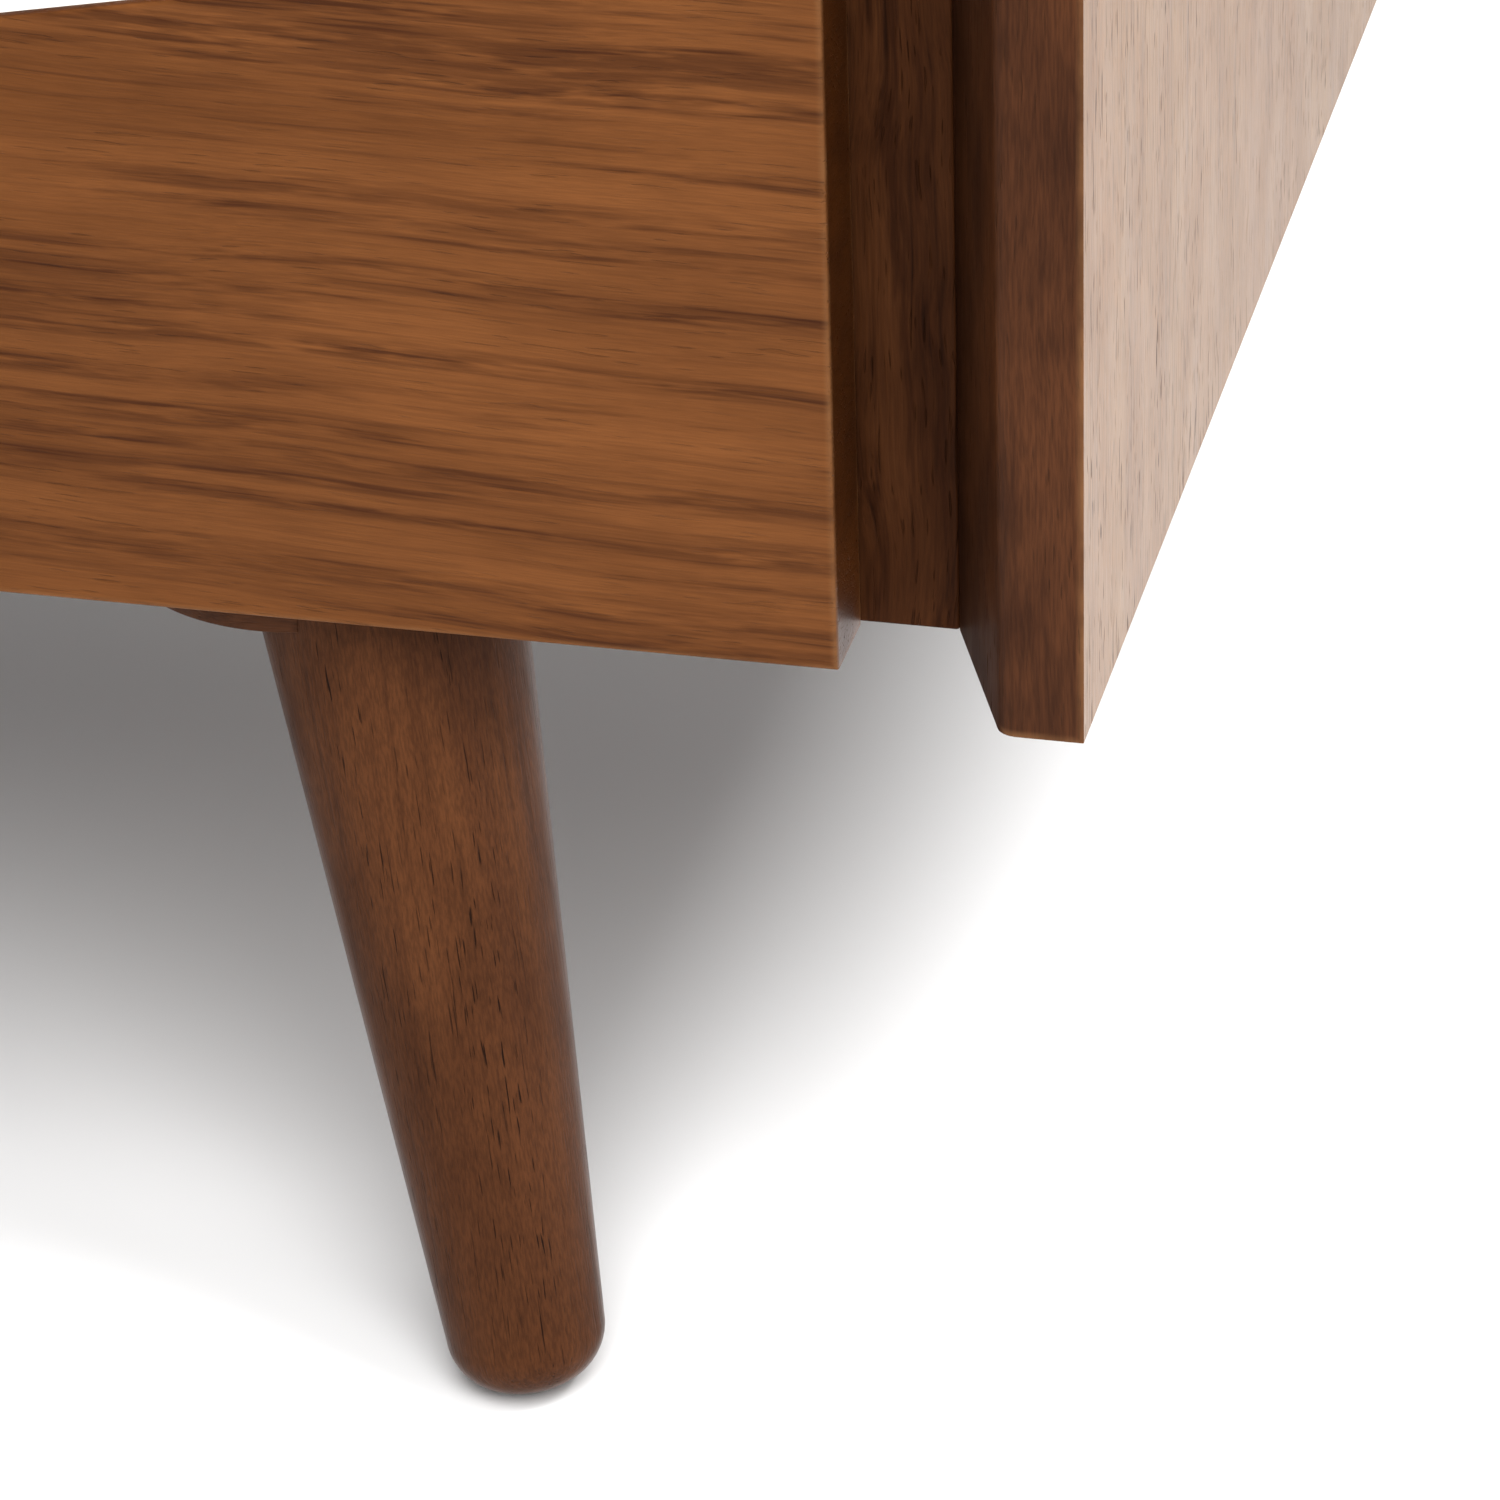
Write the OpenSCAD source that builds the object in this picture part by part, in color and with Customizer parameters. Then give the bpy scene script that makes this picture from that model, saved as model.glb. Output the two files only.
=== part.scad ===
// Side table with one drawer: a mitred case on four splayed legs, with an open niche above the drawer.
// Millimetres. The origin is on the floor under the middle of the case. The drawer opens towards -Y.

/* [Case] */
// Width of the case
case_w = 550; // [530:10:600]
// Depth of the case
case_d = 400; // [390:10:440]
// Height of the top face above the floor
table_h = 520; // [500:10:560]
// Height of the underside of the case above the floor
clearance = 160; // [140:5:180]
// Thickness of the side and top panels
panel_t = 28; // [24:1:32]
// Thickness left at their bevelled front edge
edge_t = 14; // [10:1:18]
// Depth of the bevel behind the front edge
bevel_d = 34; // [28:1:40]
// Thickness of the bottom panel and of the niche floor
shelf_t = 18; // [17:1:20]
// Width of the two stiles and height of the top rail
stile_w = 30; // [26:1:34]
// Depth of the stiles and the top rail
stile_d = 22; // [18:1:26]

/* [Drawer] */
// Thickness of the drawer front
front_t = 17; // [16:1:20]
// Height of the drawer front at its two ends
front_h = 128; // [124:1:134]
// How far the middle of its top edge dips below the ends
dip_h = 24; // [16:1:26]
// Half the width of the level stretch in the middle of the dip
dip_half_w = 67; // [20:1:70]
// Slope of the two flanks of the dip, in degrees
dip_slope = 9.7; // [9.5:0.1:20]
// Thickness of the lip left in front of the bevel behind its top edge
lip_t = 2; // [1:0.5:4]
// How far the drawer front laps over each stile
overlap = 13; // [10:1:16]
// Height of the drawer box
box_h = 54; // [50:1:56]
// Length of the drawer box
box_l = 320; // [310:5:330]
// Thickness of the drawer box's four sides
box_t = 12; // [10:1:14]
// How far the drawer is pulled out
drawer_out = 0; // [0:10:260]

/* [Legs] */
// Outward splay of a leg, seen from the front and from the side, in degrees
splay = 10.2; // [7:0.1:11]
// Diameter of a leg at its top
leg_top_d = 48; // [40:1:50]
// Diameter of a leg at its foot
foot_d = 29.5; // [26:0.5:34]
// Diameter of the disc above a leg
disc_d = 70; // [66:1:76]
// Thickness of the disc
disc_t = 9; // [8:0.5:14]

/* [Hidden] */
$fn = 64;

LEFT = -1;
RIGHT = 1;
FRONT = -1;
REAR = 1;
SIDES = [LEFT, RIGHT];
CORNERS = [[LEFT, FRONT], [RIGHT, FRONT], [LEFT, REAR], [RIGHT, REAR]];

WALNUT = "#6b432c";
WALNUT_DARK = "#4f3022";
WHITE = "#f2f0eb";
BIRCH = "#d9bf94";
STEEL = "#b9bcc0";
RUBBER = "#2b2b2b";
NYLON = "#e4e4de";

cut = 1;                                    // how far a cutting solid runs past what it cuts

// Case, from the outside in
side_x = case_w / 2;
inner_x = side_x - panel_t;                 // inner face of a side panel
open_x = inner_x - stile_w;                 // inner edge of a stile
front_y = -case_d / 2;
frame_y = front_y + bevel_d;                // front face of the stiles, the rail and the shelves
stile_y1 = frame_y + stile_d;
back_y = case_d / 2;
back_t = 6;
back_lap = 8;                               // how far the back panel reaches into its rebates
back_y0 = back_y - back_t;
top_z = table_h;
under_z = clearance;
inner_top_z = top_z - panel_t;
bottom_top_z = under_z + shelf_t;

// Niche
floor_gap = 5;                              // air above and below the drawer box
floor_z0 = bottom_top_z + box_h + 2 * floor_gap;
floor_z1 = floor_z0 + shelf_t;
liner_t = 6;
ceiling_z = inner_top_z - stile_w;          // level with the lower edge of the top rail

// Drawer front
stand_off = 1;                              // gap between the drawer front and the stiles
front_x = open_x + overlap;
front_y1 = frame_y - stand_off;
front_y0 = front_y1 - front_t;
front_z1 = under_z + front_h;
dip_z = front_z1 - dip_h;
dip_end_x = dip_half_w + dip_h / tan(dip_slope);
shoulder_r = 60;                            // blend where a flank meets the end of the top edge
hollow_r = 80;                              // blend where a flank meets the middle of the dip
blend_steps = 8;
pull_slope = 45;                            // of the bevel that fingers slip behind, in degrees

// Drawer box
slide_gap = 13;                             // room for a slide on each side
box_x1 = open_x - slide_gap;
box_x0 = box_x1 - box_t;
box_y0 = front_y1;
box_y1 = box_y0 + box_l;
box_z0 = bottom_top_z + floor_gap;
base_t = 6;
base_up = 6;                                // height of the bottom board above the sides' lower edge
base_z = box_z0 + base_up;
groove = box_t / 2;

// Slides, measured across from the case (u = 0) to the drawer (u = slide_gap)
slide_y0 = frame_y + 4;
slide_l = 300;
slide_z = box_z0 + box_h / 2;
sheet_t = 1.2;
clear = 0.3;                                // running clearance of a glide
outer_half = 17.5;
outer_lip = 9.5;
middle_half = 12.8;
middle_u = 3.2;
middle_lip = 11;
inner_half = 8.1;
inner_lip = 6.5;
glide_l = 20;

// Fixings
dowel_d = 8;
dowel_l = 40;
dowel_ys = [-100, 20, 140];
cleat_past = 18;                            // how far a cleat runs on behind its slide
cleat_y1 = slide_y0 + slide_l + cleat_past;
cleat_half = 26;
cleat_screw_ys = [-75, 45];
slide_screw_ys = [-125, -13, 100];
box_dowel_d = 6;
box_dowel_l = 24;
box_dowel_dz = [-6, 18];                    // from the middle of the slide, clear of the bottom board
front_screw_xs = [-150, -60, 60, 150];
bumper_d = 8;
bumper_t = 0.8;
bumper_zs = [under_z + 12, under_z + 88];

// Legs: the joint is where a leg's axis passes the underside of its disc
disc_z = under_z - disc_t;
joint_in_x = 134.5;                         // from the case's outer faces to the joint
joint_in_y = 49.5;
disc_in_x = 151.5;                          // and to the middle of the disc, which sits further in
disc_in_y = 62;
joint_x = side_x - joint_in_x;
joint_y = case_d / 2 - joint_in_y;
disc_x = side_x - disc_in_x;
disc_y = case_d / 2 - disc_in_y;
leg_tilt = atan(sqrt(2) * tan(splay));
leg_turn = 45;                              // every leg splays along a diagonal
foot_round = 11;
sole_cut = 0.5;                             // how much of the rounded foot is sanded flat
sole_r = foot_d / 2 - foot_round;
leg_l = foot_round + (disc_z - foot_round + sole_cut - sole_r * sin(leg_tilt)) / cos(leg_tilt);
leg_rise = 18;                              // stock above the joint, sawn off level under the case
leg_taper = (leg_top_d - foot_d) / 2 / leg_l;
bolt_d = 8;
bolt_in_leg = 28;
insert_d = 12;
insert_l = 13.5;
insert_z0 = (disc_t + insert_d / 2 * sin(leg_tilt)) / cos(leg_tilt);
bolt_above = insert_z0 + insert_l - 1;

// Places its children on the right, or mirrored on the left
module on_side(side) {
    mirror([side == LEFT ? 1 : 0, 0, 0]) children();
}

// Places its children at one of the four corners, drawn for the right rear one
module at_corner(corner) {
    mirror([corner.x == LEFT ? 1 : 0, 0, 0]) mirror([0, corner.y == FRONT ? 1 : 0, 0]) children();
}

// A box given by its lowest and highest corners
module block(low, high) {
    translate(low) cube(high - low);
}

// A block whose x runs the same distance to both sides of the middle
module centred_block(half_x, low_yz, high_yz) {
    block([-half_x, low_yz.x, low_yz.y], [half_x, high_yz.x, high_yz.y]);
}

// Extrudes an outline drawn in X and Z from y0 to y1
module along_y(y0, y1) {
    translate([0, y1, 0]) rotate([90, 0, 0]) linear_extrude(y1 - y0) children();
}

// Points of an arc, angles in degrees
function arc(centre, r, from, to) =
    [for (i = [0 : blend_steps]) let (a = from + (to - from) * i / blend_steps)
        centre + r * [cos(a), sin(a)]];

// A countersunk screw standing on its point, its head flush with z = 0
module countersunk(length, d, recess = true) {
    head_d = 2 * d;
    head_h = d / 2;
    tip_h = d;
    difference() {
        union() {
            translate([0, 0, -head_h]) cylinder(h = head_h, d1 = d, d2 = head_d);
            translate([0, 0, tip_h - length]) cylinder(h = length - tip_h - head_h, d = d);
            translate([0, 0, -length]) cylinder(h = tip_h, d1 = 1, d2 = d);
        }
        if (recess) drive_recess(d);
    }
}

// A pan-head screw standing on its point, its head sitting on z = 0
module pan_head(length, d, recess = true) {
    head_h = 0.4 * d;
    tip_h = d;
    difference() {
        union() {
            cylinder(h = head_h, d1 = 1.75 * d, d2 = 1.3 * d);
            translate([0, 0, tip_h - length]) cylinder(h = length - tip_h, d = d);
            translate([0, 0, -length]) cylinder(h = tip_h, d1 = 1, d2 = d);
        }
        if (recess) translate([0, 0, head_h]) drive_recess(d);
    }
}

// The cross slot in a screw head, cut down from z = 0
module drive_recess(d) {
    slot_w = 0.22 * d;
    slot_h = 0.6 * d;
    for (a = [0, 90]) rotate(a) cube([d, slot_w, slot_h], center = true);
}

// ---- Case -------------------------------------------------------------------------------------

// Plan of a side panel: bevelled inside at the front, rebated inside at the back
side_plan = [[side_x, front_y], [side_x, back_y], [inner_x + back_lap, back_y],
             [inner_x + back_lap, back_y0], [inner_x, back_y0], [inner_x, frame_y],
             [side_x - edge_t, front_y]];

// The same edges on the top panel, seen from its right end
top_plan = [[front_y, top_z], [front_y, top_z - edge_t], [frame_y, inner_top_z],
            [back_y0, inner_top_z], [back_y0, inner_top_z + back_lap],
            [back_y, inner_top_z + back_lap], [back_y, top_z]];

// Everything above the mitre plane of one top corner, or everything below it
module mitre_wedge(above) {
    far = 3 * panel_t;
    along_y(front_y - cut, back_y + cut)
        polygon([[inner_x - far, inner_top_z - far], [side_x + far, top_z + far],
                 above ? [inner_x - far, top_z + far] : [side_x + far, inner_top_z - far]]);
}

module mitre_spline() {
    spline_t = 4;
    spline_w = 16;
    end_gap = 10;
    inset = panel_t / 2 - spline_t;
    translate([inner_x + inset, stile_y1, inner_top_z + inset]) rotate([0, 45, 0])
        translate([-spline_w / 2, 0, -spline_t / 2]) cube([spline_w, back_y0 - stile_y1 - end_gap, spline_t]);
}

module mitre_splines() {
    color(BIRCH) for (side = SIDES) on_side(side) mitre_spline();
}

// Dowels that tie the bottom panel and the niche floor to the sides
module case_dowels() {
    color(BIRCH) for (side = SIDES, y = dowel_ys, z = [under_z, floor_z0])
        on_side(side) translate([inner_x - dowel_l * 0.6, y, z + shelf_t / 2])
            rotate([0, 90, 0]) cylinder(h = dowel_l, d = dowel_d);
}

module side_panel(side) {
    color(WALNUT) on_side(side) difference() {
        translate([0, 0, under_z]) linear_extrude(top_z - under_z) polygon(side_plan);
        mitre_wedge(true);
        mitre_spline();
        case_dowels();
        cleat_screw_set(RIGHT);
        back_panel_screws(false);
    }
}

module top_panel() {
    color(WALNUT) difference() {
        translate([-side_x, 0, 0]) rotate([90, 0, 90]) linear_extrude(case_w) polygon(top_plan);
        for (side = SIDES) on_side(side) mitre_wedge(false);
        mitre_splines();
        back_panel_screws(false);
    }
}

module stile(side) {
    color(WALNUT_DARK) on_side(side)
        block([open_x, frame_y, under_z], [inner_x, stile_y1, inner_top_z]);
}

module top_rail() {
    color(WALNUT_DARK) centred_block(open_x, [frame_y, ceiling_z], [stile_y1, inner_top_z]);
}

// A full-width board with its front corners cut away for the stiles
module notched_board(z0, z1) {
    difference() {
        centred_block(inner_x, [frame_y, z0], [back_y0, z1]);
        for (side = SIDES) on_side(side)
            block([open_x, frame_y - cut, z0 - cut], [inner_x + cut, stile_y1, z1 + cut]);
    }
}

module bottom_panel() {
    color(WALNUT_DARK) difference() {
        notched_board(under_z, bottom_top_z);
        case_dowels();
        disc_screws(false);
        back_panel_screws(false);
        leg_bolts();
        for (corner = CORNERS) on_leg_axis(corner) insert_blank();
    }
}

module niche_floor() {
    color(WHITE) difference() {
        notched_board(floor_z0, floor_z1);
        case_dowels();
    }
}

module niche_liner(side) {
    color(WHITE) on_side(side)
        block([open_x, stile_y1, floor_z1], [open_x + liner_t, back_y0, ceiling_z + liner_t]);
}

module niche_ceiling() {
    color(WHITE) centred_block(open_x, [stile_y1, ceiling_z], [back_y0, ceiling_z + liner_t]);
}

module niche_back() {
    color(WHITE) centred_block(open_x, [back_y0 - liner_t, floor_z1], [back_y0, ceiling_z]);
}

module back_panel() {
    color(BIRCH) difference() {
        centred_block(inner_x + back_lap, [back_y0, under_z], [back_y, inner_top_z + back_lap]);
        back_panel_screws(false);
    }
}

// Screws round the rim of the back panel, into the sides, the top and the bottom panel
module back_panel_screws(recess = true) {
    screw_d = 3;
    screw_l = 14;
    rim = 4;
    side_zs = [under_z + 40, (under_z + inner_top_z) / 2, inner_top_z - 40];
    end_xs = [-180, -60, 60, 180];
    places = concat([for (side = SIDES, z = side_zs) [side * (inner_x + rim), z]],
                    [for (x = end_xs, z = [under_z + shelf_t / 2, inner_top_z + rim]) [x, z]]);
    color(STEEL) for (p = places) translate([p.x, back_y, p.y]) rotate([-90, 0, 0])
        countersunk(screw_l, screw_d, recess);
}

// ---- Slide supports -----------------------------------------------------------------------------

module slide_cleat(side) {
    color(BIRCH) on_side(side) difference() {
        block([open_x, stile_y1, slide_z - cleat_half], [inner_x, cleat_y1, slide_z + cleat_half]);
        cleat_screw_set(RIGHT);
        case_slide_screw_set(RIGHT);
    }
}

module cleat_screw_set(side, recess = false) {
    on_side(side) for (y = cleat_screw_ys) translate([open_x, y, slide_z]) rotate([0, -90, 0])
        countersunk(45, 4.5, recess);
}

module cleat_screws() {
    color(STEEL) for (side = SIDES) cleat_screw_set(side, true);
}

// ---- Legs ---------------------------------------------------------------------------------------

// Turns and tilts its children so that their +Z runs up a leg's axis, from the joint
module on_leg_axis(corner) {
    at_corner(corner) translate([joint_x, joint_y, disc_z]) rotate([0, -leg_tilt, leg_turn])
        children();
}

module leg_blank() {
    shoulder_z = foot_round - leg_l;
    top_r = leg_top_d / 2;
    translate([0, 0, shoulder_z])
        cylinder(h = leg_rise - shoulder_z, r1 = foot_d / 2, r2 = top_r + leg_rise * leg_taper);
    translate([0, 0, shoulder_z]) rotate_extrude() intersection() {
        union() {
            translate([sole_r, 0]) circle(r = foot_round);
            translate([0, -foot_round]) square([sole_r, 2 * foot_round]);
        }
        translate([0, -foot_round]) square([foot_d, foot_round]);
    }
}

module leg(corner) {
    color(WALNUT_DARK) difference() {
        intersection() {
            on_leg_axis(corner) leg_blank();
            centred_block(side_x, [front_y, 0], [back_y, under_z]);
        }
        leg_bolts();
    }
}

// A disc screwed under the case, notched round the top of its leg
module leg_disc(corner) {
    color(WALNUT_DARK) difference() {
        at_corner(corner) translate([disc_x, disc_y, disc_z]) cylinder(h = disc_t, d = disc_d);
        on_leg_axis(corner) leg_blank();
        disc_screws(false);
    }
}

// Hanger bolts, each from inside a leg into the insert above it
module leg_bolts() {
    color(STEEL) for (corner = CORNERS) on_leg_axis(corner) translate([0, 0, -bolt_in_leg])
        cylinder(h = bolt_in_leg + bolt_above, d = bolt_d);
}

module insert_blank() {
    translate([0, 0, insert_z0]) cylinder(h = insert_l, d = insert_d);
}

// Inserts sunk into the bottom panel, one for each bolt
module leg_inserts() {
    color(STEEL) difference() {
        for (corner = CORNERS) on_leg_axis(corner) insert_blank();
        leg_bolts();
    }
}

// Three screws up through each disc, on the side that its leg leaves free
module disc_screws(recess = true) {
    screw_r = 24;
    color(STEEL) for (corner = CORNERS) at_corner(corner) translate([disc_x, disc_y, disc_z])
        for (a = [135, 225, 300]) rotate(a) translate([screw_r, 0, 0]) mirror([0, 0, 1])
            countersunk(20, 4, recess);
}

// ---- Slides -------------------------------------------------------------------------------------

// A channel seen along Y: its web spans u0 to u1, its lips reach out to u_lip
module channel(u0, u1, u_lip, half_z) {
    web_x1 = open_x - u0;
    web_x0 = open_x - u1;
    lip_x = open_x - u_lip;
    slide_z0 = slide_z - half_z;
    slide_z1 = slide_z + half_z;
    slide_y1 = slide_y0 + slide_l;
    block([web_x0, slide_y0, slide_z0], [web_x1, slide_y1, slide_z1]);
    for (z = [slide_z0, slide_z1 - sheet_t])
        block([min(web_x0, lip_x), slide_y0, z], [max(web_x1, lip_x), slide_y1, z + sheet_t]);
}

// A pair of glide strips, above and below the middle of a slide
module glide_pair(u0, u1, z_in, z_out, y0) {
    for (up = [0, 1]) translate([0, 0, slide_z]) mirror([0, 0, up])
        block([open_x - u1, y0, z_in], [open_x - u0, y0 + glide_l, z_out]);
}

module slide_outer(side) {
    color(STEEL) on_side(side) difference() {
        channel(0, sheet_t, outer_lip, outer_half);
        case_slide_screw_set(RIGHT);
    }
}

module slide_middle(side) {
    color(STEEL) on_side(side) translate([0, -drawer_out / 2, 0])
        channel(middle_u, middle_u + sheet_t, middle_lip, middle_half);
}

module slide_inner(side) {
    color(STEEL) on_side(side) difference() {
        translate([0, -drawer_out, 0])
            channel(slide_gap - sheet_t, slide_gap, inner_lip, inner_half);
        drawer_slide_screw_set(RIGHT);
    }
}

// Nylon glides at the front of the outer channels
module case_glides() {
    color(NYLON) for (side = SIDES) on_side(side)
        glide_pair(middle_u + sheet_t, outer_lip - clear, middle_half + clear,
                   outer_half - sheet_t, slide_y0);
}

// Glides on a middle channel: outside at its back end, inside at its front end
module runner_glides(side) {
    color(NYLON) on_side(side) translate([0, -drawer_out / 2, 0]) {
        glide_pair(middle_u + sheet_t, outer_lip - clear, middle_half,
                   outer_half - sheet_t - clear, slide_y0 + slide_l - glide_l);
        glide_pair(inner_lip + clear, middle_lip - clear, inner_half + clear,
                   middle_half - sheet_t, slide_y0);
    }
}

// Glides outside the inner channels, at their back end
module drawer_glides() {
    color(NYLON) translate([0, -drawer_out, 0]) for (side = SIDES) on_side(side)
        glide_pair(inner_lip + clear, middle_lip - clear, inner_half,
                   middle_half - sheet_t - clear, slide_y0 + slide_l - glide_l);
}

module case_slide_screw_set(side, recess = false) {
    on_side(side) for (y = slide_screw_ys) translate([open_x - sheet_t, y, slide_z])
        rotate([0, -90, 0]) pan_head(16, 4, recess);
}

module case_slide_screws() {
    color(STEEL) for (side = SIDES) case_slide_screw_set(side, true);
}

// ---- Drawer -------------------------------------------------------------------------------------

// Front view of the drawer front, its top edge dipping in the middle
function dip_flank(side) =
    let (shoulder = [dip_end_x + shoulder_r * tan(dip_slope / 2), front_z1 - shoulder_r],
         hollow = [dip_half_w - hollow_r * tan(dip_slope / 2), dip_z + hollow_r],
         points = concat(arc(shoulder, shoulder_r, 90, 90 + dip_slope),
                         arc(hollow, hollow_r, 270 + dip_slope, 270)))
    [for (p = points) [side * p.x, p.y]];

function reversed(list) = [for (i = [len(list) - 1 : -1 : 0]) list[i]];

// The drawer front's top edge closed off at height z, half_x to each side
function front_outline(half_x, z) =
    concat([[-half_x, z], [half_x, z], [half_x, front_z1]],
           dip_flank(RIGHT), reversed(dip_flank(LEFT)), [[-half_x, front_z1]]);

// All that lies above the bevel, which falls away backwards from the lip at every point of the edge
module front_bevel() {
    outline = [for (p = front_outline(front_x + cut, front_z1 + front_h)) [p.x, p.y * cos(pull_slope)]];
    translate([0, front_y0 + lip_t, 0]) rotate([90 - pull_slope, 0, 0])
        translate([0, 0, -table_h]) linear_extrude(2 * table_h) polygon(outline);
}

module drawer_front() {
    color(WALNUT) translate([0, -drawer_out, 0]) difference() {
        along_y(front_y0, front_y1) polygon(front_outline(front_x, under_z));
        front_bevel();
        drawer_front_screw_set(false);
    }
}

// The space that the drawer's bottom board fills, grooves included
module drawer_base() {
    centred_block(box_x0 + groove, [box_y0 + groove, base_z],
                  [box_y1 - groove, base_z + base_t]);
}

module drawer_bottom() {
    color(BIRCH) translate([0, -drawer_out, 0]) drawer_base();
}

module drawer_side(side) {
    color(BIRCH) translate([0, -drawer_out, 0]) difference() {
        on_side(side) block([box_x0, box_y0, box_z0], [box_x1, box_y1, box_z0 + box_h]);
        drawer_base();
        box_dowels();
        translate([0, drawer_out, 0]) drawer_slide_screw_set(side);
    }
}

// The front or the back of the drawer box, between its sides
module box_end(y0) {
    difference() {
        centred_block(box_x0, [y0, box_z0], [y0 + box_t, box_z0 + box_h]);
        drawer_base();
        box_dowels();
        drawer_front_screw_set(false);
    }
}

module drawer_box_front() {
    color(BIRCH) translate([0, -drawer_out, 0]) box_end(box_y0);
}

module drawer_back() {
    color(BIRCH) translate([0, -drawer_out, 0]) box_end(box_y1 - box_t);
}

// Dowels through the sides into the front and back of the drawer box
module box_dowels() {
    for (side = SIDES, y = [box_y0 + box_t / 2, box_y1 - box_t / 2], dz = box_dowel_dz)
        on_side(side) translate([box_x1 - box_dowel_l, y, slide_z + dz]) rotate([0, 90, 0])
            cylinder(h = box_dowel_l, d = box_dowel_d);
}

module drawer_dowels() {
    color(BIRCH) translate([0, -drawer_out, 0]) box_dowels();
}

// Screws from inside the drawer box into the drawer front
module drawer_front_screw_set(recess) {
    for (x = front_screw_xs) translate([x, box_y0 + box_t, slide_z]) rotate([-90, 0, 0])
        countersunk(24, 4, recess);
}

module drawer_front_screws() {
    color(STEEL) translate([0, -drawer_out, 0]) drawer_front_screw_set(true);
}

module drawer_slide_screw_set(side, recess = false) {
    translate([0, -drawer_out, 0]) on_side(side) for (y = slide_screw_ys)
        translate([box_x1 + sheet_t, y, slide_z]) rotate([0, 90, 0]) pan_head(10, 4, recess);
}

module drawer_slide_screws() {
    color(STEEL) for (side = SIDES) drawer_slide_screw_set(side, true);
}

// Rubber dots behind the ends of the drawer front, where it meets the stiles
module drawer_bumpers() {
    color(RUBBER) translate([0, -drawer_out, 0]) for (side = SIDES, z = bumper_zs)
        translate([side * (open_x + overlap / 2), front_y1 + bumper_t, z]) rotate([90, 0, 0])
            cylinder(h = bumper_t, d = bumper_d);
}

side_panel(LEFT);  // side_panel_left
side_panel(RIGHT);  // side_panel_right
top_panel();
top_rail();
bottom_panel();
niche_floor();
niche_liner(LEFT);  // niche_liner_left
niche_liner(RIGHT);  // niche_liner_right
niche_ceiling();
niche_back();
back_panel();
stile(LEFT);  // stile_left
stile(RIGHT);  // stile_right
slide_cleat(LEFT);  // slide_cleat_left
slide_cleat(RIGHT);  // slide_cleat_right
leg_disc([LEFT, FRONT]);  // leg_disc_front_left
leg_disc([RIGHT, FRONT]);  // leg_disc_front_right
leg_disc([LEFT, REAR]);  // leg_disc_rear_left
leg_disc([RIGHT, REAR]);  // leg_disc_rear_right
leg([LEFT, FRONT]);  // leg_front_left
leg([RIGHT, FRONT]);  // leg_front_right
leg([LEFT, REAR]);  // leg_rear_left
leg([RIGHT, REAR]);  // leg_rear_right
leg_bolts();
leg_inserts();
disc_screws();
case_dowels();
mitre_splines();
cleat_screws();
back_panel_screws();
slide_outer(LEFT);  // slide_outer_left
slide_outer(RIGHT);  // slide_outer_right
case_glides();
case_slide_screws();
slide_middle(LEFT);  // slide_middle_left
slide_middle(RIGHT);  // slide_middle_right
runner_glides(LEFT);  // runner_glides_left
runner_glides(RIGHT);  // runner_glides_right
drawer_front();
drawer_box_front();
drawer_side(LEFT);  // drawer_side_left
drawer_side(RIGHT);  // drawer_side_right
drawer_back();
drawer_bottom();
slide_inner(LEFT);  // slide_inner_left
slide_inner(RIGHT);  // slide_inner_right
drawer_glides();
drawer_dowels();
drawer_front_screws();
drawer_slide_screws();
drawer_bumpers();
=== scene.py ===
"""A side table with one drawer: its woods, lacquer and metal, on a white studio floor.

Metres throughout, in the frame of the CAD model: +Z up, the drawer opens towards -Y.
"""
import math
from collections import namedtuple

import bmesh
import bpy
from mathutils import Matrix, Vector


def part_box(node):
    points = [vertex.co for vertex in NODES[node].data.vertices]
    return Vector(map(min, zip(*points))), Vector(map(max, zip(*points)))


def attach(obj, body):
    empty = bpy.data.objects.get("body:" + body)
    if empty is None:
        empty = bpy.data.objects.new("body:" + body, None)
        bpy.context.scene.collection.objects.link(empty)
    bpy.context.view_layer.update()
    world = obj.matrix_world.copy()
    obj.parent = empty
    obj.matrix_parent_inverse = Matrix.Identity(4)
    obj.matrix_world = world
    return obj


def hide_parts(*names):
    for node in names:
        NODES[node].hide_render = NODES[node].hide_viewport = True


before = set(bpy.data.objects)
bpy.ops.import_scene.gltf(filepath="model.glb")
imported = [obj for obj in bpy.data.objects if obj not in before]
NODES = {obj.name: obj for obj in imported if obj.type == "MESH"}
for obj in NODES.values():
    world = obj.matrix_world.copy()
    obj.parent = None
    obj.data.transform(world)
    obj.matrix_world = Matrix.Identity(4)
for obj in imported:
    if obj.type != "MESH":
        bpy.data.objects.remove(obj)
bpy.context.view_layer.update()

MM = 0.001

# ---- Camera: a long lens, above and to the right of the front; angles in degrees -------------------
CAM_PLACE = (0.4328, -1.0094, 0.6293)
CAM_AZIMUTH = 14.83
CAM_ELEVATION = 29.65
CAM_ROLL = -1.92
CAM_LENS = 139.0
CAM_SENSOR = 36.0

# ---- Studio: area lights as azimuth, elevation (degrees), distance, size (metres) and watts --------
LIGHT_TARGET = (0.15, -0.1, 0.15)
LIGHTS = {
    "key_front": (19, 50, 1.8, 1.15, 45),
    "key_right": (85, 60, 1.8, 0.75, 39),
    "fill_right": (72, 12, 2.0, 0.6, 11),
}
SKY_STRENGTH = 0.5
FLOOR_HALF = 6.0            # half the width of the studio floor

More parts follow.
